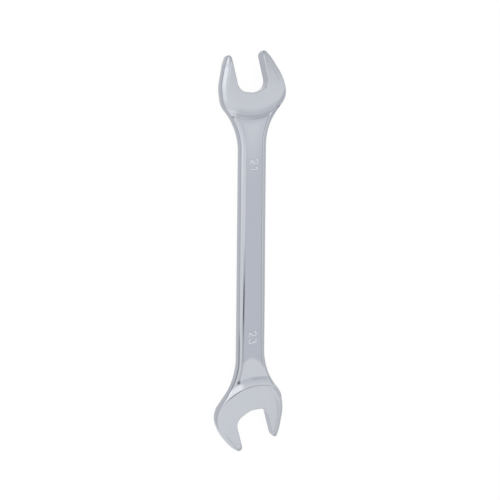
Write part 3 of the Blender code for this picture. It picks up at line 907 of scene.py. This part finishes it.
def chromePlate():
    # Nickel and chrome plating on a drop forging, whose heads and rims were ground and polished along
    # the shank. Gives clear, slightly wavy reflections there, and softer, greyer ones on the forged
    # floor and on the steps by each face, whose grey there is painted shade. The broached jaws, a line
    # above the neck's wall and a spot by each head's corner are darkened with painted shade, and the
    # trimmed walls with painted shade and their own duller finish; a corner of each head and the
    # numerals are brightened with painted highlights.
    v = chromeValues
    material, tree = newMaterial("chromePlate")
    place = addNode(tree, "ShaderNodeTexCoord").outputs["Object"]
    shares = {name: addNode(tree, "ShaderNodeAttribute", {"attribute_name": name}).outputs["Fac"]
              for name in v["tones"]}
    stretch = [1 / (v[size] * mm) for size in ("lineLength", "lineSize", "lineSize")]
    stretched = addNode(tree, "ShaderNodeMapping", inputs={"Scale": stretch}, links={"Vector": place})
    patterns = []
    for scale, detail, vector in ((1 / (v["patchSize"] * mm), 2.0, place),
                                  (1 / (v["waveSize"] * mm), 1.0, place),
                                  (1 / (v["grainSize"] * mm), 2.0, place),
                                  (1.0, 3.0, stretched.outputs[0])):
        patterns.append(addNode(tree, "ShaderNodeTexNoise", inputs={"Scale": scale, "Detail": detail},
                                links={"Vector": vector}).outputs["Fac"])
    patches, waves, grain, lines = patterns
    broach = addNode(tree, "ShaderNodeTexWave", {"bands_direction": "Z"},
                     inputs={"Scale": math.pi / 10 / (v["broachSize"] * mm), "Distortion": 1.5,
                             "Detail": 2.0}, links={"Vector": place}).outputs["Fac"]

    def toned(share, a, b):
        # A colour from a to b as the share rises. A colour may be a hex code or another output.
        node = addNode(tree, "ShaderNodeMix", {"data_type": "RGBA"}, links={0: share})
        for socket, colour in ((6, a), (7, b)):
            if isinstance(colour, str):
                node.inputs[socket].default_value = linearColour(colour)
            else:
                tree.links.new(colour, node.inputs[socket])
        return node.outputs[2]

    colour = toned(patches, v["polished"], v["polishedPale"])
    for name, tone in v["tones"].items():
        colour = toned(shares[name], colour, tone)
    smooth, coarse = v["lineRange"]
    gloss = addNode(tree, "ShaderNodeMapRange",
                    inputs={"From Min": smooth, "From Max": coarse, "To Min": v["roughness"][0],
                            "To Max": v["roughness"][1]}, links={"Value": lines})
    rough = addNode(tree, "ShaderNodeMix", {"data_type": "FLOAT"}, inputs={3: v["forgedRoughness"]},
                    links={0: shares["dullFloorAndStepShadeShare"], 2: gloss.outputs[0]})
    normal = None
    for size, height, share in (("waveHeight", waves, None), ("lineHeight", lines, None),
                                ("grainHeight", grain, shares["dullFloorAndStepShadeShare"]),
                                ("broachHeight", broach, shares["jawBroachAndShadeShare"])):
        sources = {"Height": height, "Normal": normal, "Strength": share}
        links = {name: source for name, source in sources.items() if source is not None}
        normal = addNode(tree, "ShaderNodeBump", inputs={"Distance": v[size] * mm},
                         links=links).outputs[0]
    shader = addNode(tree, "ShaderNodeBsdfPrincipled", inputs={"Metallic": 1.0},
                     links={"Base Color": colour, "Roughness": rough.outputs[0], "Normal": normal})
    addNode(tree, "ShaderNodeOutputMaterial", links={"Surface": shader.outputs[0]})
    return material


forging.data.materials.append(chromePlate())
print("chrome plating made")


# A white paper sweep under a white tent, with one big softbox over the wrench and grey flags round
# it, which draw its edges. Places and sizes in m, angles in degrees, and a glow of 1 is white.
studioValues = {
    "backdrop": "#FFFFFF",
    "paper": "#E6E6E6",
    "paperShare": 0.25,  # how much of the paper's look comes from the light that falls on it
    "paperGlow": 1.165,
    "tentLight": 0.62,
    "floorSize": 6.0,
    "lampPlace": (0.11, 0.26, 0.80),
    "lampSize": (0.42, 0.50),
    "lampGlow": 1.25,
    # The softbox's front as the chrome shows it: how high it hangs, how it glows and, along X and Y,
    # where its light starts to rise, is full, starts to fall and ends.
    "softboxFront": {"height": 1.0, "glow": 1.45, "alongX": (-0.14, 0.56, 0.90, 1.10),
                     "alongY": (-0.30, 0.06, 0.36, 0.60)},
    "flagDistance": 1.1,
    "flagGap": 0.02,  # each flag stands this much nearer than the one before
    "flagSteps": 60,
    # Which way from +X each flag's middle stands, how many degrees it spans, its height, its grey
    # and how far down its soft top reaches. Slopes, walls and jaws that face a flag take its tone,
    # and the two boards, brighter than white, give them light lines.
    "flags": {
        "flagAround": {"towards": -23, "width": 314, "height": 1.44, "grey": 0.78, "fade": 0.18},
        "flagLeft": {"towards": 74, "width": 120, "height": 0.56, "grey": 0.60, "fade": 0.30},
        "flagCorner": {"towards": -38, "width": 50, "height": 2.10, "grey": 0.76, "fade": 0.20},
        "flagEnd": {"towards": 20, "width": 80, "height": 0.60, "grey": 0.60, "fade": 0.30},
        "boardRight": {"towards": -90, "width": 12, "height": 0.62, "grey": 1.18, "fade": 0.20},
        "boardNeck": {"towards": -71, "width": 26, "height": 0.62, "grey": 1.10, "fade": 0.20},
        "flagSlit": {"towards": -103, "width": 6, "height": 0.40, "grey": 0.04, "fade": 0.15},
        "flagShoulder": {"towards": 18, "width": 30, "height": 0.95, "grey": 0.32, "fade": 0.25},
    },
}


def lightFor(tree, seenShader, plainShader):
    # The first shader for rays from the camera, a reflection or a refraction, else the second.
    rays = addNode(tree, "ShaderNodeLightPath")
    seen = rays.outputs["Is Camera Ray"]
    for kind in ("Is Glossy Ray", "Is Transmission Ray"):
        seen = addNode(tree, "ShaderNodeMath", {"operation": "MAXIMUM"},
                       links={0: seen, 1: rays.outputs[kind]}).outputs[0]
    mixed = addNode(tree, "ShaderNodeMixShader", links={0: seen, 1: plainShader, 2: seenShader})
    return mixed.outputs[0]


def makeWorld():
    # A white tent: plain light on everything, and pure white wherever it is seen.
    v = studioValues
    world = bpy.data.worlds.new("whiteTent")
    bpy.context.scene.world = world
    world.use_nodes = True
    tree = world.node_tree
    tree.nodes.clear()
    plain = addNode(tree, "ShaderNodeBackground",
                    inputs={"Color": linearColour(v["backdrop"]), "Strength": v["tentLight"]})
    seen = addNode(tree, "ShaderNodeBackground",
                   inputs={"Color": linearColour(v["backdrop"]), "Strength": 1.0})
    addNode(tree, "ShaderNodeOutputWorld",
            links={"Surface": lightFor(tree, seen.outputs[0], plain.outputs[0])})


def stageObject(name, points, faces, material):
    mesh = bpy.data.meshes.new(name)
    mesh.from_pydata(points, [], faces)
    mesh.materials.append(material)
    thing = bpy.data.objects.new(name, mesh)
    bpy.context.scene.collection.objects.link(thing)
    return thing


def paperSweep():
    # Matt white paper. Part of its look is the light that falls on it, so it keeps the soft shadow.
    v = studioValues
    material, tree = newMaterial("paperSweep")
    matt = addNode(tree, "ShaderNodeBsdfDiffuse", inputs={"Color": linearColour(v["paper"])}).outputs[0]
    glow = addNode(tree, "ShaderNodeEmission", inputs={"Strength": v["paperGlow"]}).outputs[0]
    bright = addNode(tree, "ShaderNodeMixShader", inputs={0: 1 - v["paperShare"]},
                     links={1: matt, 2: glow}).outputs[0]
    addNode(tree, "ShaderNodeOutputMaterial", links={"Surface": lightFor(tree, bright, matt)})
    return material


def greyFlag(name, grey, height, fade):
    # Grey cloth on a frame, whose top fades out so that it leaves no hard edge in the chrome.
    material, tree = newMaterial(name)
    place = addNode(tree, "ShaderNodeTexCoord").outputs["Object"]
    up = addNode(tree, "ShaderNodeSeparateXYZ", links={0: place}).outputs["Z"]
    clear = addNode(tree, "ShaderNodeMapRange", {"interpolation_type": "SMOOTHSTEP"},
                    inputs={"From Min": height - fade, "From Max": height}, links={"Value": up})
    cloth = addNode(tree, "ShaderNodeEmission", inputs={"Strength": grey}).outputs[0]
    gone = addNode(tree, "ShaderNodeBsdfTransparent").outputs[0]
    mixed = addNode(tree, "ShaderNodeMixShader", links={0: clear.outputs[0], 1: cloth, 2: gone})
    addNode(tree, "ShaderNodeOutputMaterial", links={"Surface": mixed.outputs[0]})
    return material


def onlyReflected(thing):
    # Seen in the chrome, and nowhere else.
    thing.visible_camera = False
    thing.visible_diffuse = False
    thing.visible_shadow = False
    thing.visible_transmission = False


def makeFlags():
    # Each flag is a strip of a cylinder round the wrench.
    steps, distance = studioValues["flagSteps"], studioValues["flagDistance"]
    for name, v in studioValues["flags"].items():
        first, last = v["towards"] - v["width"] / 2, v["towards"] + v["width"] / 2
        angle = np.radians(np.linspace(first, last, steps + 1))
        ring = np.stack([np.cos(angle), np.sin(angle)], 1) * distance
        edges = [np.column_stack([ring, np.full(steps + 1, z)]) for z in (0.0, v["height"])]
        low = np.arange(steps)
        faces = np.stack([low, low + 1, low + steps + 2, low + steps + 1], 1).tolist()
        cloth = greyFlag(name, v["grey"], v["height"], v["fade"])
        onlyReflected(stageObject(name, np.concatenate(edges).tolist(), faces, cloth))
        distance -= studioValues["flagGap"]


def boxFront(name, v):
    # A lamp's front cloth, which fades out at every side: the product of a rise and a fall along X
    # and along Y.
    material, tree = newMaterial(name)
    place = addNode(tree, "ShaderNodeTexCoord").outputs["Object"]
    place = addNode(tree, "ShaderNodeSeparateXYZ", links={0: place})
    share = None
    for axis, (rise, full, fall, gone) in (("X", v["alongX"]), ("Y", v["alongY"])):
        for dark, bright in ((rise, full), (gone, fall)):
            edge = addNode(tree, "ShaderNodeMapRange", {"interpolation_type": "SMOOTHSTEP"},
                           inputs={"From Min": dark, "From Max": bright},
                           links={"Value": place.outputs[axis]}).outputs[0]
            if share is not None:
                edge = addNode(tree, "ShaderNodeMath", {"operation": "MULTIPLY"},
                               links={0: share, 1: edge}).outputs[0]
            share = edge
    cloth = addNode(tree, "ShaderNodeEmission", inputs={"Strength": v["glow"]}).outputs[0]
    gone = addNode(tree, "ShaderNodeBsdfTransparent").outputs[0]
    mixed = addNode(tree, "ShaderNodeMixShader", links={0: share, 1: gone, 2: cloth})
    addNode(tree, "ShaderNodeOutputMaterial", links={"Surface": mixed.outputs[0]})
    return material


def makeSoftbox():
    # The front is what the chrome shows. The lamp in the softbox lights the paper, with a power of
    # glow x pi x area.
    v = studioValues
    front = v["softboxFront"]
    z = front["height"]
    (x0, x1), (y0, y1) = front["alongX"][::3], front["alongY"][::3]
    onlyReflected(stageObject("softboxFront", [(x0, y0, z), (x1, y0, z), (x1, y1, z), (x0, y1, z)],
                              [(0, 1, 2, 3)], boxFront("softboxFront", front)))
    data = bpy.data.lights.new("softboxLamp", "AREA")
    data.shape = "RECTANGLE"
    data.size, data.size_y = v["lampSize"]
    data.energy = v["lampGlow"] * math.pi * v["lampSize"][0] * v["lampSize"][1]
    lamp = bpy.data.objects.new("softboxLamp", data)
    lamp.location = v["lampPlace"]
    lamp.rotation_mode = "QUATERNION"
    lamp.rotation_quaternion = Vector(v["lampPlace"]).to_track_quat("Z", "Y")
    lamp.visible_glossy = False
    bpy.context.scene.collection.objects.link(lamp)


half = studioValues["floorSize"] / 2
makeWorld()
stageObject("floor", [(-half, -half, 0), (half, -half, 0), (half, half, 0), (-half, half, 0)],
            [(0, 1, 2, 3)], paperSweep())
makeFlags()
makeSoftbox()
bpy.context.scene.view_settings.view_transform = "Standard"
print("studio made")
